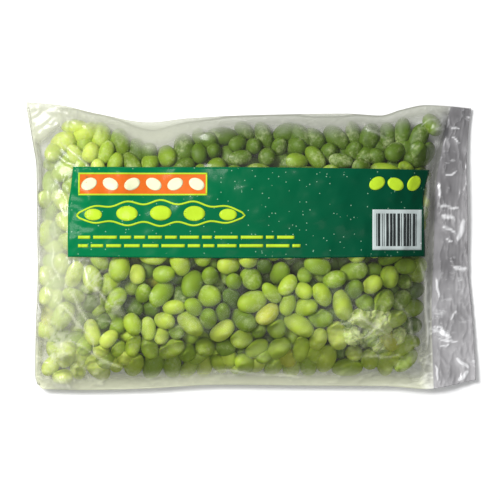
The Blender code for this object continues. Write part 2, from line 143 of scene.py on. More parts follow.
# Slack of the film, with changes as for the tint. It is least where no beans hold the film up.
SLACK_ALL, SLACK_MOST = 0.25, 1.4
SLACK_LEFT, SLACK_RIGHT = (-70.0, -45.0, 0.9), (88.0, 20.0, 0.6)
SLACK_NEAR, SLACK_FAR = (-60.0, -22.0, 0.7), (58.0, 18.0, 0.6)
SLACK_CLUMP = ((75, -52), (26, 22))
SLACK_EMPTY, SLACK_HEAP = 0.3, (-4.0, 8.0, 0.7)

# Folds: size and seed of the noise that bends them, and size, seed, octaves and sharpness of their own.
WARP_X, WARP_Y, SEAL_WARP = (26.0, 1), (26.0, 2), (18.0, 11)
BROAD_BEND, FINE_BEND, SEAL_BEND = 9, 5, 6
BROAD_FOLDS, FINE_FOLDS, SEAL_FOLDS = (15.0, 3, 3, 5), (6.0, 4, 2, 6), (13.0, 12, 3, 4)
BROAD_LIFT, FINE_LIFT, CREASE_LIFT, SEAL_LIFT = 0.75, 0.3, 0.8, 0.6
# How white the crests of the folds are painted, as painted glints.
BROAD_WHITE, FINE_WHITE, SEAL_WHITE = 0.55, 0.35, 0.55
SEAL_ALONG, SEAL_ACROSS = 1.6, 0.7  # the seal's folds are drawn out across the bag
SEAL_FADE = 6  # they reach their full height a sixth of the way across it
NOISE_SHIFT, NOISE_FADE, NOISE_FINER = 7.3, 0.6, 2.1

# Creases: start, end, width, wander, height. Their lines are also painted white as glints. The waves that
# they
# wander in: share, rate, shift.
CREASE_WAVES = ((1.0, 5.0, 1.0), (0.4, 13.0, 2.3))
CREASE_FADE = 5  # a crease fades in and out over a fifth of its length
CREASE_THIN = 0.35  # share of its width at its ends
CREASES = (
    ((-123, 66), (-92, 44), 1.1, 1.2, 1.3),
    ((-118, 54), (-96, 40), 0.9, 0.8, 0.8),
    ((-124, 4), (-116, -26), 1.0, 1.6, 0.8),
    ((-104, -10), (-84, -42), 1.2, 2.0, 1.4),
    ((-114, -18), (-101, -52), 1.0, 1.5, 1.1),
    ((-120, -30), (-92, -72), 1.2, 2.4, 1.0),
    ((-98, -44), (-78, -50), 1.0, 1.0, 0.9),
    ((-122, -56), (-70, -78), 1.0, 1.6, 0.9),
    ((58, -36), (92, -58), 1.0, 2.2, 1.3),
    ((64, -58), (88, -40), 0.9, 1.8, 1.2),
    ((70, -66), (96, -70), 1.0, 1.2, 1.0),
    ((52, -48), (72, -44), 0.9, 1.0, 0.9),
    ((88, -30), (104, -64), 1.0, 1.6, 1.0),
    ((-30, -78), (40, -80), 1.1, 1.4, 0.8),
    ((-96, 78), (-64, 62), 1.4, 1.4, 0.45),
    ((-58, 61), (-40, 70), 1.4, 1.2, 0.45),
    ((66, 80), (86, 62), 1.1, 1.0, 1.0),
    ((112, 60), (104, 10), 1.1, 1.4, 1.0),
    ((104, 0), (110, -70), 1.1, 1.6, 1.0),
)
# Painted glints on the flat seal, each over a raised crease: start, end, width.
GLINT_WANDER, GLINT_LIFT = 0.5, 0.5
SEAL_GLINTS = (
    ((123, 72), (130, 74), 1.0),
    ((123, 68), (131, 64), 0.8),
    ((119, 43), (129, 47), 1.0),
    ((117.4, 40), (116.4, 29), 1.2),
    ((115.4, 26), (131, 22), 1.0),
    ((116, 19), (128, 16.5), 1.8),
    ((117, 12), (129, 8), 1.3),
    ((118, 5), (126, 3), 0.9),
    ((128, 1), (132, 19), 2.2),
    ((124, -12), (135, -15), 1.9),
    ((115, -18), (115.8, -34), 1.2),
    ((123, -46), (128, -40), 0.9),
    ((114, -49), (121, -54), 1.2),
    ((114, -53), (126, -57), 1.6),
    ((114, -58), (130, -59), 1.2),
    ((116, -62), (124, -61), 0.9),
    ((126, -68), (136, -77), 1.6),
    ((136, -77), (127, -84), 2.0),
    ((114, -72), (115.5, -85), 1.1),
)

# Where the film is milky, painted grey as shade, or crumpled and white with haze and painted glints.
MILKY_REACH = 13.0  # from the bag's edges, with a wider strip on the far side and narrower ones at the ends
FAR_SHIFT, SEAL_SHIFT, LEFT_SHIFT, LEFT_SLOPE = -1, 7, 4, 1.5
SMUDGES = (((-116, -30), (18, 50), 0.44), ((-124, 20), (10, 60), 0.42), (CLUMP_AT, (17, 13), 0.16))
CRUMPLED = (((-95.0, -22.0), (9.0, 13.0)), ((-120.0, -62.0), (8.0, 13.0)), ((-84.0, -36.0), (7.0, 6.0)),
            ((104.0, -66.0), (7.0, 14.0)))
CRUMPLED_WHITE = 0.5
RAGGED_NOISE = (8.0, 21, 3)  # size, seed and octaves
RAGGED_BASE, RAGGED_GAIN, RAGGED_THIN = 0.1, 1.5, 3
# Painted shade and dark reflection: the film turns grey over this reach short of the seal, at most by this
# share.
SEAL_PAINTED_SHADE_REACH, SEAL_PAINTED_SHADE_MOST = 10.0, 0.6  # the film turns grey this far short of the seal
SEAL_GAP, BACK_GAP = 12.0, 2.0  # the gap to the beans that the seal and the back count with

# The lap seam along the middle of the back.
LAP_HALF, LAP_EDGE = 6.0, 1.2
LAP_STEP = 0.25  # how far it stands out
# The lap seam takes this share of the seal's painted grey and of its opacity.
LAP_GREY = 0.35

# The printed band on the front.
BAND_TOP = ((-109.5, 48.6), (0.0, 48.4), (110.0, 46.9))
BAND_BOTTOM = ((-112.4, -6.6), (0.0, -7.4), (107.0, -6.4))
BAND_LEFT = ((-7.0, -112.4), (24.0, -112.3), (36.0, -110.6), (48.6, -109.4))
BAND_RIGHT = ((-6.6, 107.2), (9.0, 106.8), (26.0, 105.9), (38.0, 107.6), (47.0, 110.2))
BAND_WIDE = 48.0
BAND_COLUMNS, BAND_ROWS = 170, 44
BAND_ROUNDS = 4
BAND_LIFT, BAND_THICK = 0.3, 0.12
PRINT_LIFT, PRINT_THICK = 0.11, 0.03

# The generic design on the band, each place as (left, right, low, high).
PANEL = (-106.0, -27.0, 31.0, 45.0)
PANEL_LINE = 1.0
PANEL_BEANS = 6
PANEL_BEAN_HALF, PANEL_BEAN_TURN = (5.0, 3.6), 0.45
POD = (-107.0, -4.0, 18.8)  # left end, right end, middle's Y
POD_HALF = 8.0
POD_BULGES, POD_WAIST = 5, 0.16
POD_BLUNTNESS = 0.4
POD_BEND = 1.4
POD_LINE, POD_POINTS = 1.1, 60
POD_BEAN_HALF, POD_END_BEAN_HALF = (6.6, 4.6), (5.4, 3.6)
DASH_ROWS = (5.4, 0.2)
DASH_ENDS = (-106.0, 30.0)
DASH_RANGE = (5.0, 15.0)
DASH_TALL, DASH_GAP = 1.9, 1.8
CORNER_BEANS = ((77.0, 38.5, 0.5), (88.5, 38.0, -0.4), (100.0, 38.6, 0.9))  # X, Y, turn
CORNER_BEAN_HALF = (5.2, 3.8)
BAR_BOX = (74.0, 105.0, -2.4, 22.4)
BAR_MARGIN = 2.4
BAR_WIDTHS, BAR_GAPS = (0.4, 0.8, 1.6), (0.4, 0.7, 1.1)
PATCH_CELL, OVAL_CELLS = 1.2, 6

# Colours. A ramp is a row of (place from 0 to 1, colour).
BLACK, WHITE = (0, 0, 0), (1, 1, 1)
HALF_WHITE = (0.55, 0.55, 0.55)
BEAN_TINTS = ((0.0, (0.070, 0.122, 0.006)), (0.3, (0.250, 0.362, 0.020)), (0.7, (0.395, 0.505, 0.036)),
              (1.0, (0.55, 0.63, 0.09)))
RIPE_TINT, MOTTLE_TINT, FROST_TINT = (0.54, 0.55, 0.05), (0.16, 0.32, 0.01), (0.70, 0.76, 0.42)
HAZE = ((0.0, (0.004, 0.004, 0.004)), (0.2, (0.012, 0.012, 0.012)), (1.0, (0.024, 0.024, 0.024)))
# Painted shade: the milky film goes from this pale colour at the near left to this grey one at the far right.
MILK_PAINTED_LIGHT_NEAR_LEFT, MILK_PAINTED_SHADE_FAR_RIGHT = (0.83, 0.85, 0.62), (0.44, 0.45, 0.38)
# The seal's grey, dark to pale, is painted shade and dark reflection; the last colour is its painted glints.
SEAL_PAINTED_SHADE_DARK, SEAL_PAINTED_SHADE_PALE, PAINTED_GLINT_COLOUR = (0.20, 0.194, 0.20), (0.44, 0.43, 0.44), (0.95, 0.95, 0.96)
BAND_GREENS = ((0.0, (0.001, 0.155, 0.050)), (0.4, (0.001, 0.110, 0.040)), (0.75, (0.001, 0.066, 0.029)),
               (1.0, (0.001, 0.038, 0.019)))
FLECK = (0.40, 0.62, 0.45)

# Shares that the materials count with.
RIPE_FROM = 0.996  # of the beans, those past this are ripe and yellow
MOTTLE_SHARE, FROSTED_SHARE = 0.3, 0.45
HAZE_GAP = 14.0  # the film's gap to the beans where its haze is full
CLOUD_ALPHA, CREASE_ALPHA, MARGIN_ALPHA, SEAL_ALPHA = 0.12, 0.26, 0.60, 0.75
FLECK_SIZE, FLECK_SHARE, FLECK_ALPHA = 0.17, 0.22, 0.5
PRINT_GLOSS = {"Roughness": 0.30, "Specular IOR Level": 0.05, "Coat Weight": 0.05, "Coat Roughness": 0.12}
ORANGE, PLAIN_WHITE, PALE = (0.55, 0.11, 0.01), (0.42, 0.48, 0.47), (0.62, 0.64, 0.42)
YELLOW, DARK = (0.38, 0.55, 0.02), (0.015, 0.02, 0.02)

# The stage. Its lights, as (place, side, power), and its floor are in metres.
FLOOR_HALF, FLOOR_COLOUR = 4.0, (0.92, 0.92, 0.92)
SKY_COLOUR, SKY_STRENGTH = (0.96, 0.98, 1.0, 1), 0.24
KEY_LIGHT = ((-0.55, 0.42, 0.95), 0.50, 18.2)
FILL_LIGHT = ((0.20, -0.55, 1.40), 0.8, 5.2)
CAMERA_HEIGHT = 1600.0
SENSOR_WIDTH = 36.0
FRAME_WIDTH = 310.0
FRAME_CENTRE = (-0.9, -2.4)


def along_points(points, t):
    """The smooth curve through (t, value) points, read at t. It never swings past its points."""
    knots = np.array(points)
    at, value = knots[:, 0], knots[:, 1]
    t = np.clip(t, at[0], at[-1])
    steps = np.diff(value) / np.diff(at)
    before, after = steps[:-1], steps[1:]
    turns = before * after <= 0
    inner = np.where(turns, 0, 2 * before * after / np.where(turns, 1, before + after))
    slope = np.concatenate([steps[:1], inner, steps[-1:]])
    i = np.clip(np.searchsorted(at, t) - 1, 0, len(at) - 2)
    span = at[i + 1] - at[i]
    f = (t - at[i]) / span
    return (
        value[i] * (1 + 2 * f) * (1 - f) ** 2
        + slope[i] * span * f * (1 - f) ** 2
        + value[i + 1] * f * f * (3 - 2 * f)
        + slope[i + 1] * span * f * f * (f - 1)
    )


def smooth_step(t):
    t = np.clip(t, 0, 1)
    return t * t * (3 - 2 * t)


def fade_in(t, start, length, amount):
    """0 before start, rising to amount over length."""
    return amount * smooth_step((t - start) / length)


def far_side(x, slack):
    """Y of the bag's far side at x, set back by a share of the heap's slack."""
    return along_points(TOP_SIDE, x) - slack * along_points(HEAP_SLACK, x)


def envelope(x, y, limits, base, thickness):
    """(underside, top) at x, y of a pillow that ends at the limits (left, right, low, high)."""
    left, right, low, high = limits
    along = (2 * x - left - right) / (right - left)
    across = np.abs((2 * y - low - high) / (high - low))
    power = np.where(along < 0, LEFT_POWER, RIGHT_POWER)
    full = (
        np.clip(1 - np.abs(along) ** power, 0, 1) ** ALONG_ROOT
        * np.clip(1 - across**ACROSS_POWER, 0, 1) ** ACROSS_ROOT
    )
    curl = FOLD_HEIGHT * np.clip(1 - FLAT_SHARE * full, 0, 1) ** UNDERSIDE_CURL
    from_left = x - along_points(LEFT_END, y)
    tucked = TUCK_LIFT * smooth_step((TUCK_TO - from_left) / (TUCK_TO - TUCK_FROM))
    top = base + curl + thickness * full
    return np.minimum(base + np.maximum(curl, tucked), top), top


def bag_limits(x, y, slack):
    """Left, right, low and high edges of the bag at x, y, the last set back by a share of the slack."""
    return (
        along_points(LEFT_END, y),
        along_points(SEAL_LINE, y),
        along_points(BOTTOM_SIDE, x),
        far_side(x, slack),
    )


def heap_limits(x, y):
    """Left, right, low and high edges of the heap of beans at x, y."""
    left, right, low, high = bag_limits(x, y, 1.0)
    return left + HEAP_INSET, right - along_points(SEAL_SLACK, y), low + NEAR_SLACK, high - HEAP_INSET


def film_envelope(x, y):
    return envelope(x, y, bag_limits(x, y, FILM_SLACK), 0, THICKNESS)


def bean_envelope(x, y):
    return envelope(x, y, heap_limits(x, y), BEAN_BASE, BEAN_THICKNESS)


def even_to_fine(count):
    """Numbers from 0 to 1 that lie closer together towards both ends."""
    t = np.linspace(0, 1, count + 1)
    return (t + 0.5 - 0.5 * np.cos(math.pi * t)) / 2


def plan_grid(columns, rows, ends, sides=(BOTTOM_SIDE, TOP_SIDE), wide=0.0, rounds=6):
    """x and y of a grid that fills the outline between two ends and two sides, settled in a few rounds."""
    u, v = np.meshgrid(columns, rows, indexing="ij")
    y = wide * v
    for _ in range(rounds):
        left, right = (along_points(end, y) for end in ends)
        x = left + (right - left) * u
        low, high = (along_points(side, x) for side in sides)
        y = low + (high - low) * v
    return x, y


def rotated(at, x, y, turn):
    """x and y turned about the origin and then moved to a place."""
    return at[0] + x * math.cos(turn) - y * math.sin(turn), at[1] + x * math.sin(turn) + y * math.cos(turn)


def value_noise(x, y, scale, seed, octaves=1):
    """Smooth noise between about -1 and 1 at each point, with features of about scale."""
    places = [Vector((a, b, NOISE_SHIFT * seed)) for a, b in zip(x.ravel() / scale, y.ravel() / scale)]
    if octaves == 1:
        values = [noise.noise(place) for place in places]
    else:
        values = [noise.fractal(place, NOISE_FADE, NOISE_FINER, octaves) for place in places]
    return np.array(values).reshape(x.shape)


def ridges(x, y, scale, seed, octaves, sharpness):
    """1 on the crests of folds that follow smooth noise, falling to 0 between them."""
    return np.clip(1 - np.abs(value_noise(x, y, scale, seed, octaves)), 0, 1) ** sharpness


# Beans


def pack_beans():
    """Centres, long axes, sizes and stretches of loose beans pressed together inside the bag.

    Each bean is three balls in a row. Balls that overlap push each other apart, the bag pushes them in, and
    each bean then takes the place that fits its three balls best.
    """
    draw = np.random.default_rng(SEED)
    size = draw.uniform(*SIZE_RANGE, BEAN_COUNT)
    stretch = draw.uniform(*STRETCH_RANGE, BEAN_COUNT)
    half = BEAN_HALF[0] * size * stretch
    middle = (BEAN_HALF[1] + BEAN_HALF[2]) / 2 * size / np.sqrt(stretch)
    radii = np.stack([middle * END_BALL, middle, middle * END_BALL], 1)
    reach = half - middle * END_BALL
    places = []
    while len(places) < BEAN_COUNT:
        x, y = draw.uniform(*HEAP_ALONG), draw.uniform(*HEAP_ACROSS)
        share = draw.uniform()
        low, high = (float(z) for z in bean_envelope(x, y))
        room = high - low - 2 * BEAN_HALF[2]
        if room > 0:
            places.append((x, y, low + BEAN_HALF[2] + share * room))
    centre = np.array(places)
    axis = draw.uniform(-1, 1, (BEAN_COUNT, 3)) * (1, 1, FLAT_TILT)
    axis /= np.linalg.norm(axis, axis=1)[:, None]
    row = np.array([-1.0, 0.0, 1.0])
    for step in range(PACK_STEPS):
        if step % PAIR_STEPS == 0:
            apart = np.linalg.norm(centre[:, None] - centre[None], axis=2)
            one, two = np.nonzero(np.triu(apart < PAIR_REACH, 1))
        balls = centre[:, None] + row[None, :, None] * reach[:, None, None] * axis[:, None]
        balls += push_apart(balls, radii, one, two)
        push_inside(balls, radii)
        centre = balls.mean(1)
        axis = balls[:, 2] - balls[:, 0]
        axis /= np.linalg.norm(axis, axis=1)[:, None]
    return centre, axis, size, stretch


def push_apart(balls, radii, one, two):
    """How far each ball moves to clear the balls of the beans near it."""
    shift = np.zeros_like(balls)
    hits = np.zeros(radii.shape)
    for i in range(3):
        for j in range(3):
            between = balls[one, i] - balls[two, j]
            apart = np.linalg.norm(between, axis=1) + 1e-9
            deep = radii[one, i] + radii[two, j] - apart
            hit = deep > 0
            push = between[hit] / apart[hit, None] * deep[hit, None] / 2
            np.add.at(shift, (one[hit], i), push)
            np.add.at(shift, (two[hit], j), -push)
            np.add.at(hits, (one[hit], i), 1)
            np.add.at(hits, (two[hit], j), 1)
    return shift / np.maximum(hits, 1)[:, :, None] * PUSH


def push_inside(balls, radii):
    """Moves the balls that reach past the bag's top, underside or outline back inside."""
    x, y, z = balls[..., 0], balls[..., 1], balls[..., 2]
    here = bean_envelope(x, y)
    beside = bean_envelope(x + SLOPE_STEP, y)
    behind = bean_envelope(x, y + SLOPE_STEP)
    moved = np.zeros_like(balls)
    for side, sign in ((0, -1), (1, 1)):
        slope_x = np.clip((beside[side] - here[side]) / SLOPE_STEP, -STEEPEST, STEEPEST)
        slope_y = np.clip((behind[side] - here[side]) / SLOPE_STEP, -STEEPEST, STEEPEST)
        steep = np.sqrt(1 + slope_x**2 + slope_y**2)
        past = np.clip(sign * (z - here[side]) / steep + radii, 0, MOST_PUSH)
        normal = np.stack([-slope_x, -slope_y, np.ones_like(z)], -1) / steep[..., None]
        moved -= sign * normal * past[..., None]
    balls += moved
    left, right, low, high = heap_limits(x, y)
    x[...] = np.clip(x, left + radii, right - radii)
    y[...] = np.clip(y, low + radii, high - radii)


def bean_frames():
    """Centres, and 3 by 3 matrices whose columns are a bean's half-length, half-width and half-thickness."""
    centre, axis, size, stretch = pack_beans()
    roll = np.random.default_rng(SEED + 1).uniform(-ROLL_SPREAD, ROLL_SPREAD, BEAN_COUNT)
    across = np.cross((0.0, 0.0, 1.0), axis)
    upright = np.linalg.norm(across, axis=1) < UPRIGHT
    across[upright] = np.cross((1.0, 0.0, 0.0), axis[upright])
    across /= np.linalg.norm(across, axis=1)[:, None]
    thick = np.cross(axis, across)
    turned = across * np.cos(roll)[:, None] + thick * np.sin(roll)[:, None]
    thick = np.cross(axis, turned)
    long = BEAN_HALF[0] * stretch
    wide, high = (half / np.sqrt(stretch) for half in BEAN_HALF[1:])
    columns = [d * (h * size)[:, None] for d, h in ((axis, long), (turned, wide), (thick, high))]
    return centre, np.stack(columns, 2)


def fill_gaps(centre, frames):
    """Adds beans at the bottom of the heap wherever it could be seen right through from above."""
    draw = np.random.default_rng(SEED + 4)
    x, y = np.meshgrid(np.arange(*HEAP_ALONG, GAP_STEP), np.arange(*HEAP_ACROSS, GAP_STEP), indexing="ij")
    low, high = bean_envelope(x, y)
    thick = high - low > FILLER_ROOM
    for _ in range(MOST_FILLERS):
        bare = thick & (heap_top(x, y, centre, frames) < 0)
        if not bare.any():
            break
        spread = sum(np.roll(bare, (i, j), (0, 1)) for i in (-1, 0, 1) for j in (-1, 0, 1))
        at = np.unravel_index(np.argmax(spread * bare), x.shape)
        like = frames[draw.integers(len(frames))]
        reach_down = np.linalg.norm(like[2])
        centre = np.vstack([centre, (x[at], y[at], low[at] + reach_down * FILLER_CLEAR)])
        frames = np.concatenate([frames, [like]])
    return centre, frames


def fill_corners(centre, frames):
    """Adds the few beans that lie flat in the bag's corners."""
    long, wide, high = BEAN_HALF
    for x, y, turn, size in LOOSE:
        floor = float(bean_envelope(np.array(x), np.array(y))[0])
        run, rise = size * math.cos(turn), size * math.sin(turn)
        frame = ((run * long, -rise * wide, 0), (rise * long, run * wide, 0), (0, 0, size * high))
        centre = np.vstack([centre, (x, y, floor + size * high * FILLER_CLEAR)])
        frames = np.concatenate([frames, [frame]])
    return centre, frames


def bean_mesh_parts(centre, frames):
    """Points of every bean, (beans, points, 3), and the faces of one of them."""
    draw = np.random.default_rng(SEED + 2)
    turn = np.linspace(0, math.pi, BEAN_RINGS + 2)[1:-1]
    round_ = 2 * math.pi * np.arange(BEAN_SIDES) / BEAN_SIDES
    along = np.concatenate([[-1.0], np.repeat(-np.cos(turn), BEAN_SIDES), [1.0]])
    girth = np.concatenate([[0.0], np.repeat(np.sin(turn) ** BLUNTNESS, BEAN_SIDES), [0.0]])
    angle = np.concatenate([[0.0], np.tile(round_, BEAN_RINGS), [0.0]])
    bend = draw.uniform(*BEND_RANGE, len(centre))[:, None]
    taper = draw.uniform(*TAPER_RANGE, len(centre))[:, None]
    wide = girth * np.cos(angle) * (1 + taper * along)
    high = girth * np.sin(angle) * (1 + taper * along)
    hollow = np.clip(-np.cos(angle), 0, 1) ** 2 * girth * (1 - along**2)
    wide = wide + bend * (along**2 - BEND_BALANCE) + bend * SEAM_HOLLOW * hollow
    shape = np.stack([np.broadcast_to(along, wide.shape), wide, high], -1)
    points = centre[:, None] + np.einsum("bij,bpj->bpi", frames, shape)
    lumps = [[noise.noise(Vector(p) / LUMP_SIZE) for p in bean] for bean in points]
    out = points - centre[:, None]
    points = points + out * (np.array(lumps) * LUMP_DEPTH)[:, :, None]
    x, y = points[..., 0], points[..., 1]
    x[...] = np.clip(x, along_points(LEFT_END, y) + PRESSED, along_points(SEAL_LINE, y) - PRESSED)
    y[...] = np.clip(y, along_points(BOTTOM_SIDE, x) + PRESSED, far_side(x, 0.0) - PRESSED)
    faces = []
    last = BEAN_RINGS * BEAN_SIDES + 1
    for k in range(BEAN_SIDES):
        after = (k + 1) % BEAN_SIDES
        faces.append((0, 1 + after, 1 + k))
        for ring in range(BEAN_RINGS - 1):
            start = 1 + ring * BEAN_SIDES
            faces.append((start + k, start + after, start + BEAN_SIDES + after, start + BEAN_SIDES + k))
        start = last - BEAN_SIDES
        faces.append((last, start + k, start + after))
    return points, faces


def make_beans(centre, frames, material):
    """Adds every bean in a few pieces, and returns their points."""
    points, faces = bean_mesh_parts(centre, frames)
    draw = np.random.default_rng(SEED + 3)
    x, y, z = centre.T
    # Painted light and shade in the tints: paler towards the left and the near side, darkened on the far side
    # and deep in the heap.
    paler = fade_in(x, *PAINTED_LIGHT_LEFT) + fade_in(y, *PAINTED_LIGHT_NEAR)
    painted_shade_far = fade_in(y, *PAINTED_SHADE_FAR) * fade_in(x, *PAINTED_SHADE_RIGHT)
    painted_shade_deep = fade_in(bean_envelope(x, y)[1] - z, *PAINTED_SHADE_DEEP)
    tint_and_painted_light = np.clip(draw.uniform(*TINT_RANGE, len(centre)) + paler - painted_shade_far - painted_shade_deep, 0, 1)
    ripe = draw.uniform(0, 1, len(centre))
    count = points.shape[1]
    for piece, chosen in enumerate(np.array_split(np.arange(len(centre)), BEAN_PIECES)):
        every = [tuple(k + n * count for k in face) for n in range(len(chosen)) for face in faces]
        place = points[chosen].reshape(-1, 3)
        add_beans(f"beans_{piece + 1}", place, every, material, {
            "tint_and_painted_light": np.repeat(tint_and_painted_light[chosen], count),
            "ripe": np.repeat(ripe[chosen], count),
            "frosted": region(place[:, 0], place[:, 1], CLUMP_AT, FROSTED_REACH),
        })
    return points.reshape(-1, 3)


def add_beans(name, points, faces, material, values):
    made = add_mesh(name, points, faces, material, values)
    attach(made, "root")
    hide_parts("beans")


def make_crushed(material):
    """Adds the crushed beans that are frozen together under the film, and returns their points."""
    turn, round_ = np.meshgrid(
        np.linspace(POLE_GAP, math.pi - POLE_GAP, CRUSHED_RINGS),
        np.linspace(0, 2 * math.pi, CRUSHED_SIDES, endpoint=False),
        indexing="ij",
    )
    every, faces = [], []
    index = np.arange(CRUSHED_RINGS * CRUSHED_SIDES).reshape(CRUSHED_RINGS, CRUSHED_SIDES)
    after = np.roll(index, -1, 1)
    cells = np.stack([index[:-1], index[1:], after[1:], after[:-1]], -1).reshape(-1, 4).tolist()
    cells += [index[0].tolist(), index[-1, ::-1].tolist()]
    ball = np.stack([np.sin(turn) * np.cos(round_), np.sin(turn) * np.sin(round_), np.cos(turn)], -1)
    for number, (x, y, long, wide, angle) in enumerate(CRUSHED):
        shift = Vector((CRUSHED_SHIFT * number, 0, 0))
        places = [Vector(p) * CRUSHED_NOISE + shift for p in ball.reshape(-1, 3)]
        folds = np.array([1 - abs(noise.fractal(place, *CRUSHED_FOLDS)) for place in places])
        out = CRUSHED_CORE + CRUSHED_RIDGE * folds.reshape(turn.shape) ** 2
        lump = ball * out[..., None] * (long, wide, CRUSHED_HIGH)
        a, b, c = lump[..., 0], lump[..., 1], lump[..., 2]
        top = float(bean_envelope(np.array(x), np.array(y))[1]) + CRUSHED_LIFT
        place = np.stack([*rotated((x, y), a, b, angle), top - c.max() + c], -1)
        faces += [[k + number * index.size for k in cell] for cell in cells]
        every.append(place.reshape(-1, 3))
    points = np.concatenate(every)
    values = {"tint_and_painted_light": CRUSHED_TINT, "ripe": 0.0, "frosted": 1.0}
    add_beans("crushed_beans", points, faces, material, values)
    return points


def heap_top(x, y, centre, frames):
    """Height of the uppermost bean at each x, y, or a low number where there is none."""
    top = np.full(x.shape, NO_BEAN)
    for place, frame in zip(centre, frames):
        near = (np.abs(x - place[0]) < HEAP_REACH) & (np.abs(y - place[1]) < HEAP_REACH)
        if not near.any():
            continue
        q = np.linalg.inv(frame @ frame.T)
        a, b = x[near] - place[0], y[near] - place[1]
        half = q[0, 2] * a + q[1, 2] * b
        rest = q[0, 0] * a * a + 2 * q[0, 1] * a * b + q[1, 1] * b * b - 1
        inside = half * half - q[2, 2] * rest
        z = np.where(inside > 0, place[2] + (np.sqrt(np.maximum(inside, 0)) - half) / q[2, 2], NO_BEAN)
        top[near] = np.maximum(top[near], z)
    return top


# Film


def region(x, y, at, reach):
    """1 at a place, fading to 0 at the given reach along X and Y."""
    return np.exp(-(((x - at[0]) / reach[0]) ** 2 + ((y - at[1]) / reach[1]) ** 2))


def crease(x, y, seed, start, end, width, wander):
    """1 on a line that wanders from start to end, fading to 0 over width."""
    run, rise = end[0] - start[0], end[1] - start[1]
    length = math.hypot(run, rise)
    along = ((x - start[0]) * run + (y - start[1]) * rise) / length**2
    beside = ((x - start[0]) * rise - (y - start[1]) * run) / length
    for share, rate, shift in CREASE_WAVES:
        beside = beside + share * wander * np.sin(along * rate + shift * seed)
    ends = smooth_step(along * CREASE_FADE) * smooth_step((1 - along) * CREASE_FADE)
    taper = CREASE_THIN + (1 - CREASE_THIN) * np.sin(math.pi * np.clip(along, 0, 1))
    return np.exp(-((beside / (width * taper)) ** 2)) * ends


def highest_points(points, shape):
    """The height of the highest of the beans' points at each place of the film's grid."""
    x, y, z = points.T
    left, right, low, high = bag_limits(x, y, 0.0)
    i = np.interp((x - left) / (right - left), even_to_fine(FILM_COLUMNS), np.arange(FILM_COLUMNS + 1))
    j = np.interp((y - low) / (high - low), even_to_fine(FILM_ROWS), np.arange(FILM_ROWS + 1))
    top = np.full(shape, NO_BEAN)
    np.maximum.at(top, (np.rint(i).astype(int), np.rint(j).astype(int)), z)
    return top


def film_heights(x, y, centre, frames, bean_points):
    """Heights of the film's back and front on its grid, the gap to the beans, and the creasing, 0 to 1, that
    sets the painted glints.
    """
    low, smooth = film_envelope(x, y)
    beans = np.maximum(heap_top(x, y, centre, frames), highest_points(bean_points, x.shape))
    slack = (
        SLACK_ALL
        + fade_in(x, *SLACK_LEFT)
        + region(x, y, *SLACK_CLUMP)
        + fade_in(x, *SLACK_RIGHT)
        + fade_in(y, *SLACK_NEAR)
        + fade_in(y, *SLACK_FAR)
    )
    slack = np.minimum(slack, SLACK_MOST) * (SLACK_EMPTY + fade_in(far_side(x, 1.0) - y, *SLACK_HEAP))
    warp_x, warp_y = value_noise(x, y, *WARP_X), value_noise(x, y, *WARP_Y)
    broad = ridges(x + BROAD_BEND * warp_x, y + BROAD_BEND * warp_y, *BROAD_FOLDS)
    fine = ridges(x + FINE_BEND * warp_y, y + FINE_BEND * warp_x, *FINE_FOLDS)
    creases = [(crease(x, y, number, *place), height) for number, (*place, height) in enumerate(CREASES)]
    lines = np.max([line * min(height, 1.0) for line, height in creases], 0)
    heights = np.max([line * height for line, height in creases], 0)
    floor = np.maximum(spread(beans) + CONTACT, low + LEAST_ROOM)
    drape = smooth.copy()
    for _ in range(DRAPE_STEPS):
        mean = (drape[:-2, 1:-1] + drape[2:, 1:-1] + drape[1:-1, :-2] + drape[1:-1, 2:]) / 4
        drape[1:-1, 1:-1] = np.maximum(floor[1:-1, 1:-1], mean - PULL)
    folds = slack * (BROAD_LIFT * broad + FINE_LIFT * fine)
    top = drape + edge_fade(x.shape) * (folds + CREASE_LIFT * heights)
    # Painted glints: the material paints the crests of the folds and the crease lines whiter.
    painted_crease_glint = np.clip(slack * (BROAD_WHITE * broad + FINE_WHITE * fine) + lines, 0, 1)
    return low, top, np.clip(top - beans, 0, MOST_GAP), painted_crease_glint


def spread(heights):
    """The highest of each point and its neighbours on the grid."""
    wide = np.pad(heights, 1, mode="edge")
    columns, rows = heights.shape
    return np.max([wide[i : i + columns, j : j + rows] for i in range(3) for j in range(3)], 0)


def edge_fade(shape):
    """0 on the grid's border, rising to 1 a few cells inside."""
    u, v = (np.minimum(np.arange(n), np.arange(n)[::-1]) / EDGE_CELLS for n in shape)
    return np.minimum.outer(np.clip(u, 0, 1), np.clip(v, 0, 1))


def seal_heights(x, y, share):
    """Heights of the flat seal and the creasing that sets its painted glints, share running from 0 at the
    seal line to 1 at its free edge.
    """
    droop = FOLD_HEIGHT - SEAL_DROOP * smooth_step(share)
    buckle = SEAL_WAVE * share * np.sin(y / WAVE_STEP)
    warp = value_noise(x, y, *SEAL_WARP)
    folds = ridges(x * SEAL_ALONG + SEAL_BEND * warp, y * SEAL_ACROSS, *SEAL_FOLDS)
    crimps = crimp_lines(x - along_points(SEAL_LINE, y)) * smooth_step((share - CRIMPS_FROM) / CRIMPS_OVER)
    lift = SEAL_LIFT * folds * smooth_step(share * SEAL_FADE) + crimps
    glints = [crease(x, y, number, *place, GLINT_WANDER) for number, place in enumerate(SEAL_GLINTS)]
    glints = np.max(glints, 0)
    return droop + buckle + lift + GLINT_LIFT * glints, np.maximum(SEAL_WHITE * folds, glints)


def crimp_lines(across):
    """Heights of the fine lines that are pressed along a seal."""
    return CRIMP_HIGH * np.sin(2 * math.pi * across / CRIMP_STEP)


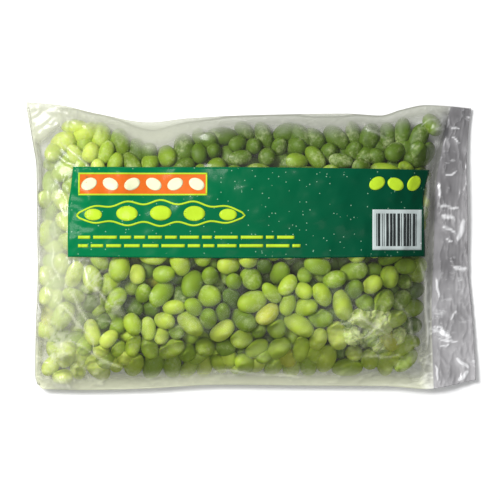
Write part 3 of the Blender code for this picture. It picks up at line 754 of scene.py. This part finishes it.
def margin_of(x, y):
    """How milky the empty film is: 1 at the bag's edges and in its slack corner, 0 over the heap."""
    left, right, low, high = bag_limits(x, y, 1.0)
    to_left = LEFT_SLOPE * (x - left) + LEFT_SHIFT
    edge = np.min([high - y + FAR_SHIFT, y - low, to_left, right - x + SEAL_SHIFT], 0)
    smudges = sum(region(x, y, at, reach) * share for at, reach, share in SMUDGES)
    thin = RAGGED_THIN * np.abs(value_noise(x, y, *RAGGED_NOISE))
    ragged = np.clip(RAGGED_BASE + RAGGED_GAIN * (1 - thin), 0, 1)
    # Crumpled patches, white with haze and painted glints.
    crumpled = CRUMPLED_WHITE * ragged * sum(region(x, y, at, reach) for at, reach in CRUMPLED)
    milky = np.maximum(smooth_step((MILKY_REACH - edge) / MILKY_REACH), smudges + crumpled)
    return np.where(x > right, 0.0, np.clip(milky, 0, 1))


def make_film(centre, frames, bean_points, material):
    """Adds the film with its flat seal, and returns x, y and height of its front over the beans.

    Its points carry the gap to the beans, the creasing for the painted glints, where the film lies on the
    seal or is painted grey as shade, and how milky the film is there.
    """
    columns, rows = even_to_fine(FILM_COLUMNS), even_to_fine(FILM_ROWS)
    x, y = plan_grid(columns, rows, (LEFT_END, SEAL_LINE))
    low, high, gap, painted_crease_glint = film_heights(x, y, centre, frames, bean_points)
    share = np.linspace(0, 1, SEAL_COLUMNS + 1)[1:]
    seal_x, seal_y = plan_grid(share, rows, (SEAL_LINE, RIGHT_END))
    seal_z, seal_painted_glint = seal_heights(seal_x, seal_y, np.broadcast_to(share[:, None], seal_x.shape))
    high = np.maximum(high, low + LAP_STEP + FILM_THICK)
    lap = smooth_step((LAP_HALF + LAP_EDGE / 2 - np.abs(y)) / LAP_EDGE)
    low = low + LAP_STEP * (1 - lap)
    x, y = np.vstack([x, seal_x]), np.vstack([y, seal_y])
    under, over = np.vstack([low, seal_z]), np.vstack([high, seal_z + FILM_THICK])
    points, faces = solid_between(x, y, under, over)
    body_x, body_y = x[: FILM_COLUMNS + 1], y[: FILM_COLUMNS + 1]
    # Painted shade: the film turns grey, as on the seal, over the last stretch before the seal line.
    to_seal = along_points(SEAL_LINE, body_y) - body_x
    painted_shade_by_seal = SEAL_PAINTED_SHADE_MOST * smooth_step((SEAL_PAINTED_SHADE_REACH - to_seal) / SEAL_PAINTED_SHADE_REACH)
    seal_all = np.ones_like(seal_x)
    back_and_front = {
        "gap": (np.full(x.shape, BACK_GAP), np.vstack([gap, SEAL_GAP * seal_all])),
        "painted_crease_glint": (np.zeros_like(x), np.vstack([painted_crease_glint, seal_painted_glint])),
        "seal_and_painted_shade": (np.vstack([LAP_GREY * lap, seal_all]), np.vstack([painted_shade_by_seal, seal_all])),
        "margin": [margin_of(x, y)] * 2,
    }
    values = {name: np.stack(sides).ravel() for name, sides in back_and_front.items()}
    add_film("film", points, faces, material, values)
    return body_x, body_y, high


def add_film(name, points, faces, material, values):
    made = add_mesh(name, points, faces, material, values)
    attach(made, "root")
    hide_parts("film_bag")


def make_tucked_seal(material):
    """The left seal, which leaves the bag's end, turns down and lies flat under the bag with fine crimps.

    Towards the bag's corners it rises with the underside, so its fold closes there.
    """
    knots = np.array(TUCK_PATH)
    reach = np.concatenate([[0], np.cumsum(np.linalg.norm(np.diff(knots, axis=0), axis=1))])
    bend, whole = reach[-2:]
    bent, flat = np.linspace(0, bend, TUCK_BEND_COLUMNS), np.linspace(bend, whole, TUCK_COLUMNS)
    at = np.concatenate([bent[:-1], flat])
    across, up = np.interp(at, reach, knots[:, 0]), np.interp(at, reach, knots[:, 1])
    lines = crimp_lines(at) * smooth_step((at - bend) / TUCK_CRIMPS_OVER)
    rows = np.linspace(TUCK_LOW, TUCK_HIGH, TUCK_ROWS + 1)
    run, rise = np.gradient(across), np.gradient(up)
    length = np.hypot(run, rise)
    end = along_points(LEFT_END, rows)
    fold_top, (flat_from, flat_at) = knots[0, 1], knots[-2]
    x, y = np.broadcast_arrays(np.maximum(across, flat_from)[:, None] + end, rows)
    room = film_envelope(x, y)[0] - TUCK_CLEAR - flat_at
    lift = np.maximum(room, 0) * np.clip((fold_top - up) / (fold_top - flat_at), 0, 1)[:, None]
    sheets = []
    for sign in (1, -1):
        x = across - sign * rise / length * TUCK_THICK / 2
        z = (up + sign * run / length * TUCK_THICK / 2 + lines)[:, None] + lift
        z = np.maximum(z, TUCK_LOWEST)
        sheets.append(np.stack(np.broadcast_arrays(x[:, None] + end, rows, z), -1))
    _, faces = solid_between(*np.zeros((4, len(at), len(rows))))
    points = np.concatenate([sheets[1].reshape(-1, 3), sheets[0].reshape(-1, 3)])
    milky = np.repeat(np.where(at < bend, *TUCK_MILKY), len(rows))
    add_film("tucked_seal", points, faces, material, {"margin": np.tile(milky, 2), **TUCK_VALUES})


def solid_between(x, y, under, over):
    """Points and faces of the closed solid between two height fields on one grid."""
    columns, rows = x.shape
    points = np.concatenate([np.stack([x, y, z], -1).reshape(-1, 3) for z in (under, over)])
    upper = columns * rows
    index = np.arange(upper).reshape(columns, rows)
    cells = np.stack([index[:-1, :-1], index[1:, :-1], index[1:, 1:], index[:-1, 1:]], -1).reshape(-1, 4)
    ring = np.concatenate([index[:, 0], index[-1, 1:], index[-2::-1, -1], index[0, -2:0:-1]])
    after = np.roll(ring, -1)
    rim = np.stack([ring, after, upper + after, upper + ring], -1)
    return points, np.concatenate([cells[:, ::-1], cells + upper, rim]).tolist()


def add_mesh(name, points, faces, material, values=None):
    """Adds a piece, with named values that its material reads at each point."""
    mesh = bpy.data.meshes.new(name)
    mesh.from_pydata((np.asarray(points) * MM).tolist(), [], faces)
    mesh.materials.append(material)
    mesh.shade_smooth()
    for key, value in (values or {}).items():
        layer = mesh.attributes.new(key, "FLOAT", "POINT")
        layer.data.foreach_set("value", np.full(len(points), value, np.float32))
    return add_object(name, mesh)


def add_object(name, data):
    made = bpy.data.objects.new(name, data)
    bpy.context.scene.collection.objects.link(made)
    return made


class Surface:
    """The height of a dense grid of points at any x, y, from the mean height in each square of 1 mm."""

    def __init__(self, x, y, z):
        self.left, self.low = x.min(), y.min()
        shape = int(x.max() - self.left) + 2, int(y.max() - self.low) + 2
        total, count = np.zeros(shape), np.zeros(shape)
        for i in range(x.shape[0] - 1):
            for f in (0.0, 0.5):
                for g in (0.0, 0.5):
                    px, py, pz = (between(a[i : i + 2, :-1], a[i : i + 2, 1:], f, g) for a in (x, y, z))
                    cells = (px - self.left).astype(int), (py - self.low).astype(int)
                    np.add.at(total, cells, pz)
                    np.add.at(count, cells, 1)
        self.heights = total / np.maximum(count, 1)

    def __call__(self, x, y):
        columns, rows = self.heights.shape
        u = np.clip(x - self.left - 0.5, 0, columns - 1.001)
        v = np.clip(y - self.low - 0.5, 0, rows - 1.001)
        i, j = u.astype(int), v.astype(int)
        low, high = self.heights[[i, i + 1], j], self.heights[[i, i + 1], j + 1]
        return between(low, high, u - i, v - j)


def between(low, high, f, g):
    """Mixes two pairs of rows: by share g from low to high, then by share f from one row to the other."""
    side, other = low * (1 - g) + high * g
    return side * (1 - f) + other * f


# Materials


class Look:
    """A new material and short ways to add nodes to it. Inputs take an output, a number or a colour."""

    def __init__(self, name):
        self.material = bpy.data.materials.new(name)
        self.material.use_nodes = True
        self.tree = self.material.node_tree
        self.shader = self.tree.nodes["Principled BSDF"]

    def set(self, node, values):
        for key, value in values.items():
            socket = node.inputs[key]
            if isinstance(value, bpy.types.NodeSocket):
                self.tree.links.new(value, socket)
            elif socket.type == "RGBA":
                socket.default_value = (*value, 1)
            else:
                socket.default_value = value

    def add(self, kind, values, **settings):
        node = self.tree.nodes.new("ShaderNode" + kind)
        for name, value in settings.items():
            setattr(node, name, value)
        self.set(node, values)
        return node

    def attribute(self, name):
        return self.add("Attribute", {}, attribute_name=name).outputs["Fac"]

    def place(self):
        return self.add("TexCoord", {}).outputs["Object"]

    def axes(self):
        """X, Y and Z of the place, in metres."""
        return self.add("SeparateXYZ", {0: self.place()}).outputs

    def ramp(self, share, *stops):
        node = self.add("ValToRGB", {"Fac": share})
        points = node.color_ramp.elements
        while len(points) < len(stops):
            points.new(0.5)
        for point, (place, colour) in zip(points, stops):
            point.position = place
            point.color = (*colour, 1)
        return node.outputs["Color"]

    def math(self, operation, *values, clamp=False):
        node = self.add("Math", dict(enumerate(values)), operation=operation, use_clamp=clamp)
        return node.outputs["Value"]

    def mix(self, share, one, two):
        return self.add("Mix", {0: share, 6: one, 7: two}, data_type="RGBA").outputs[2]

    def noise(self, scale, detail=3.0, rough=0.55, place=None):
        place = self.place() if place is None else place
        values = {"Scale": scale, "Detail": detail, "Roughness": rough, "Vector": place}
        return self.add("TexNoise", values).outputs["Fac"]

    def bump(self, height, strength, distance):
        values = {"Height": height, "Strength": strength, "Distance": distance}
        return self.add("Bump", values).outputs["Normal"]


def bean_material():
    """Green skins of many tints with painted light and shade, mottled, with patches of frost."""
    look = Look("soybean")
    tint_and_painted_light = look.ramp(look.attribute("tint_and_painted_light"), *BEAN_TINTS)
    ripe = look.math("GREATER_THAN", look.attribute("ripe"), RIPE_FROM)
    mottle = look.noise(160.0)
    tint_and_painted_light = look.mix(ripe, tint_and_painted_light, RIPE_TINT)
    tint_and_painted_light = look.mix(look.math("MULTIPLY", mottle, MOTTLE_SHARE), tint_and_painted_light, MOTTLE_TINT)
    patches = look.math("MULTIPLY_ADD", look.attribute("frosted"), FROSTED_SHARE, look.noise(70.0, 2.0))
    frost = look.math("MULTIPLY", look.noise(420.0, 6.0, 0.7), patches)
    frost = look.ramp(frost, (0.27, BLACK), (0.50, HALF_WHITE))
    look.set(look.shader, {
        "Base Color": look.mix(frost, tint_and_painted_light, FROST_TINT),
        "Roughness": look.math("ADD", 0.55, look.math("MULTIPLY", frost, 0.3)),
        "Specular IOR Level": 0.35,
        "Subsurface Weight": 0.25,
        "Subsurface Radius": (0.6, 1.0, 0.2),
        "Subsurface Scale": 0.002,
        "Normal": look.bump(mottle, 0.25, 0.0004),
    })
    return look.material


def film_material():
    """Clear on the beans, milky where the film hangs free, painted grey on the seal as shade and dark
    reflection, and white in its creases as painted glints.
    """
    look = Look("clear_film")
    painted_crease_glint, seal_and_painted_shade = look.attribute("painted_crease_glint"), look.attribute("seal_and_painted_shade")
    haze = look.ramp(look.math("DIVIDE", look.attribute("gap"), HAZE_GAP), *HAZE)
    cloud = look.math("SUBTRACT", look.noise(28.0), 0.5, clamp=True)
    cloud = look.math("MULTIPLY", cloud, CLOUD_ALPHA)
    # Creases show their painted glints as whiter, less clear film.
    lines = look.math("MULTIPLY", look.math("POWER", painted_crease_glint, 3.0), CREASE_ALPHA)
    lines = look.math("MULTIPLY_ADD", look.attribute("margin"), MARGIN_ALPHA, lines)
    lines = look.math("MULTIPLY_ADD", seal_and_painted_shade, SEAL_ALPHA, lines)
    alpha = look.math("ADD", haze, look.math("ADD", cloud, lines), clamp=True)

    # The seal's grey is painted shade and dark reflection, darkening towards the far side, with painted
    # glints in its creases and in clusters of small crumples.
    axes = look.axes()
    shade = look.math("MULTIPLY_ADD", axes["Y"], -2.0, look.noise(40.0, 2.0))
    grey = look.mix(look.ramp(shade, (0.3, BLACK), (0.7, WHITE)), SEAL_PAINTED_SHADE_DARK, SEAL_PAINTED_SHADE_PALE)
    stretched = look.add("Mapping", {"Scale": (0.45, 1.0, 1.0), "Vector": look.place()}).outputs["Vector"]
    crumple = look.ramp(look.noise(230.0, 4.0, 0.65, stretched), (0.53, BLACK), (0.63, WHITE))
    cluster = look.ramp(look.noise(34.0, 2.0), (0.52, BLACK), (0.66, WHITE))
    painted_glint = look.ramp(painted_crease_glint, (0.40, BLACK), (0.8, HALF_WHITE))
    painted_glint = look.math("ADD", painted_glint, look.math("MULTIPLY", crumple, cluster), clamp=True)

    # The milky film darkens towards the far right as painted shade.
    along = look.math("MULTIPLY_ADD", axes["X"], 3.0, 0.5)
    along = look.math("MULTIPLY_ADD", axes["Y"], 6.0, along, clamp=True)
    milk = look.mix(along, MILK_PAINTED_LIGHT_NEAR_LEFT, MILK_PAINTED_SHADE_FAR_RIGHT)
    ripple = look.bump(look.noise(90.0, 2.0), 0.3, 0.0012)
    colour = look.mix(seal_and_painted_shade, milk, look.mix(painted_glint, grey, PAINTED_GLINT_COLOUR))
    look.set(look.shader, {"Base Color": colour, "Roughness": 0.3, "Normal": ripple})

    clear = look.add("BsdfTransparent", {}).outputs[0]
    body = look.add("MixShader", {0: alpha, 1: clear, 2: look.shader.outputs[0]}).outputs[0]
    gloss = look.add("BsdfGlossy", {"Roughness": 0.20, "Normal": ripple}).outputs[0]
    fresnel = look.add("Fresnel", {"IOR": 1.33, "Normal": ripple}).outputs[0]
    surface = look.add("MixShader", {0: fresnel, 1: body, 2: gloss}).outputs[0]
    look.set(look.tree.nodes["Material Output"], {"Surface": surface})
    return look.material


def band_material():
    """Glossy green that darkens to the right, with fine pale flecks."""
    look = Look("printed_green")
    place = look.place()
    along = look.math("MULTIPLY_ADD", look.axes()["X"], 4.4, 0.5, clamp=True)
    cells = look.add("TexVoronoi", {"Scale": 480.0, "Vector": place}).outputs
    chance = look.add("SeparateColor", {0: cells["Color"]}).outputs[0]
    spots = look.math("LESS_THAN", cells["Distance"], FLECK_SIZE)
    spots = look.math("MULTIPLY", spots, look.math("LESS_THAN", chance, FLECK_SHARE))
    spots = look.math("MULTIPLY", spots, FLECK_ALPHA)
    colour = look.mix(spots, look.ramp(along, *BAND_GREENS), FLECK)
    ripple = look.bump(look.noise(90.0, 2.0), 0.25, 0.001)
    look.set(look.shader, {"Base Color": colour, "Normal": ripple, **PRINT_GLOSS})
    return look.material


def plain_print(name, colour):
    """One printed colour with a fine speckle."""
    look = Look(name)
    paler = tuple(min(1.0, c * 1.12 + 0.01) for c in colour)
    look.set(look.shader, {"Base Color": look.mix(look.noise(700.0, 2.0), colour, paler), **PRINT_GLOSS})
    return look.material


# The band and its print


def box_patch(left, right, low, high):
    """A grid that fills a box on the band."""
    columns = max(1, round((right - left) / PATCH_CELL))
    rows = max(1, round((high - low) / PATCH_CELL))
    return np.meshgrid(np.linspace(left, right, columns + 1), np.linspace(low, high, rows + 1), indexing="ij")


def oval_patch(at, half, turn):
    """A square grid pulled out to an oval."""
    row = np.linspace(-1, 1, OVAL_CELLS + 1)
    u, v = np.meshgrid(row, row, indexing="ij")
    a, b = half[0] * u * np.sqrt(1 - v * v / 2), half[1] * v * np.sqrt(1 - u * u / 2)
    return rotated(at, a, b, turn)


def line_patch(path, width):
    """A ribbon of one width along a path of (x, y) points."""
    path = np.asarray(path, float)
    run = np.gradient(path, axis=0)
    run /= np.linalg.norm(run, axis=1)[:, None]
    side = np.stack([-run[:, 1], run[:, 0]], 1) * width / 2
    both = np.stack([path - side, path + side], 1)
    return both[..., 0], both[..., 1]


def pod_path(left, right, middle):
    """The closed outline of a pod that bulges over each of its beans."""
    t = np.linspace(0, 1, POD_POINTS)
    spine = middle + POD_BEND * np.sin(math.pi * t)
    bulge = 1 - POD_WAIST - POD_WAIST * np.cos(2 * math.pi * POD_BULGES * t)
    half = POD_HALF * bulge * np.sin(math.pi * t) ** POD_BLUNTNESS
    x = left + (right - left) * t
    lower, upper = np.stack([x, spine - half], 1), np.stack([x, spine + half], 1)
    return np.concatenate([lower, upper[-2::-1]])


def frame_boxes(left, right, low, high, line):
    """The four sides of a rectangular frame, as boxes."""
    return (
        (left, right, low, low + line), (left, right, high - line, high),
        (left, left + line, low + line, high - line), (right - line, right, low + line, high - line),
    )


def print_layer(name, colour, patches, height, layer):
    """Lays patches of one colour on the band, as one piece. Layer 1 lies on the band and layer 2 over it."""
    points, faces, count = [], [], 0
    for x, y in patches:
        z = height(x, y) + BAND_LIFT + BAND_THICK + layer * PRINT_LIFT
        more_points, more_faces = solid_between(x, y, z, z + PRINT_THICK)
        faces += [[k + count for k in face] for face in more_faces]
        points.append(more_points)
        count += len(more_points)
    made = add_mesh(f"print_{name}", np.concatenate(points), faces, plain_print(f"printed_{name}", colour))
    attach(made, "root")


def make_print(height):
    """The generic design: a panel of beans, a pod, two rows of dashes, three beans and a block of bars."""
    draw = np.random.default_rng(SEED + 5)
    left, right, low, high = PANEL
    middle = (low + high) / 2
    yellow = [box_patch(*side) for side in frame_boxes(*PANEL, PANEL_LINE)]
    pale = []
    for k in range(PANEL_BEANS):
        at = left + (right - left) * (k + 0.5) / PANEL_BEANS
        pale.append(oval_patch((at, middle), PANEL_BEAN_HALF, PANEL_BEAN_TURN * (-1) ** k))
    pod_left, pod_right, at = POD
    yellow.append(line_patch(pod_path(*POD), POD_LINE))
    for k in range(POD_BULGES):
        t = (k + 0.5) / POD_BULGES
        spine = at + POD_BEND * math.sin(math.pi * t)
        half = POD_BEAN_HALF if 0 < k < POD_BULGES - 1 else POD_END_BEAN_HALF
        yellow.append(oval_patch((pod_left + (pod_right - pod_left) * t, spine), half, 0.0))
    for row in DASH_ROWS:
        start = DASH_ENDS[0]
        while start < DASH_ENDS[1] - DASH_RANGE[0]:
            end = min(start + draw.uniform(*DASH_RANGE), DASH_ENDS[1])
            yellow.append(box_patch(start, end, row - DASH_TALL / 2, row + DASH_TALL / 2))
            start = end + DASH_GAP
    yellow += [oval_patch((x, y), CORNER_BEAN_HALF, turn) for x, y, turn in CORNER_BEANS]
    bars = []
    left, right, low, high = BAR_BOX
    at = left + BAR_MARGIN
    while at < right - BAR_MARGIN:
        width = draw.choice(BAR_WIDTHS)
        bars.append(box_patch(at, at + width, low + BAR_MARGIN, high - BAR_MARGIN))
        at += width + draw.choice(BAR_GAPS)
    print_layer("orange", ORANGE, [box_patch(*PANEL)], height, 1)
    print_layer("white", PLAIN_WHITE, [box_patch(*BAR_BOX)], height, 1)
    print_layer("pale", PALE, pale, height, 2)
    print_layer("yellow", YELLOW, yellow, height, 2)
    print_layer("dark", DARK, bars, height, 2)


def make_band(height):
    columns, rows = np.linspace(0, 1, BAND_COLUMNS + 1), np.linspace(0, 1, BAND_ROWS + 1)
    ends, sides = (BAND_LEFT, BAND_RIGHT), (BAND_BOTTOM, BAND_TOP)
    x, y = plan_grid(columns, rows, ends, sides, BAND_WIDE, BAND_ROUNDS)
    z = height(x, y) + BAND_LIFT
    made = add_mesh("band", *solid_between(x, y, z, z + BAND_THICK), band_material())
    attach(made, "root")
    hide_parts("printed_band")


# Stage


def make_stage():
    mesh = bpy.data.meshes.new("floor")
    corners = [(x * FLOOR_HALF, y * FLOOR_HALF, 0) for x, y in ((-1, -1), (1, -1), (1, 1), (-1, 1))]
    mesh.from_pydata(corners, [], [(0, 1, 2, 3)])
    look = Look("pale_floor")
    look.set(look.shader, {"Base Color": FLOOR_COLOUR, "Roughness": 0.9})
    mesh.materials.append(look.material)
    floor = add_object("floor", mesh)
    world = bpy.data.worlds.new("studio")
    bpy.context.scene.world = world
    world.use_nodes = True
    sky = world.node_tree.nodes["Background"].inputs
    sky["Color"].default_value = SKY_COLOUR
    sky["Strength"].default_value = SKY_STRENGTH
    add_light("key", *KEY_LIGHT)
    add_light("fill", *FILL_LIGHT)
    camera = bpy.data.cameras.new("camera")
    camera.sensor_width = SENSOR_WIDTH
    camera.lens = SENSOR_WIDTH * (CAMERA_HEIGHT - FOLD_HEIGHT) / FRAME_WIDTH
    holder = add_object("camera", camera)
    holder.location = Vector((*FRAME_CENTRE, CAMERA_HEIGHT)) * MM
    bpy.context.scene.camera = holder
    bpy.context.scene.view_settings.view_transform = "Standard"


def add_light(name, place, side, power):
    """An area light that points at the origin."""
    light = bpy.data.lights.new(name, "AREA")
    light.size = side
    light.energy = power
    holder = add_object(name, light)
    holder.location = place
    holder.rotation_euler = (-Vector(place)).to_track_quat("-Z", "Y").to_euler()


def make_bag():
    centre, frames = fill_corners(*fill_gaps(*bean_frames()))
    soybean = bean_material()
    bean_points = np.concatenate([make_beans(centre, frames, soybean), make_crushed(soybean)])
    film = film_material()
    height = Surface(*make_film(centre, frames, bean_points, film))
    make_tucked_seal(film)
    make_band(height)
    make_print(height)


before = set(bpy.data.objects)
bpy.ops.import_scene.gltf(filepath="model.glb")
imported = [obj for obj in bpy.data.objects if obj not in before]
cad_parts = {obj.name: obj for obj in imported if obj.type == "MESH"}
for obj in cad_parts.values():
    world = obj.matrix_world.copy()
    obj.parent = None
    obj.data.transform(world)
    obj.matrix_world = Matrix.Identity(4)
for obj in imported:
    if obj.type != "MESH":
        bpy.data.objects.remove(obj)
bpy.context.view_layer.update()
make_bag()
make_stage()
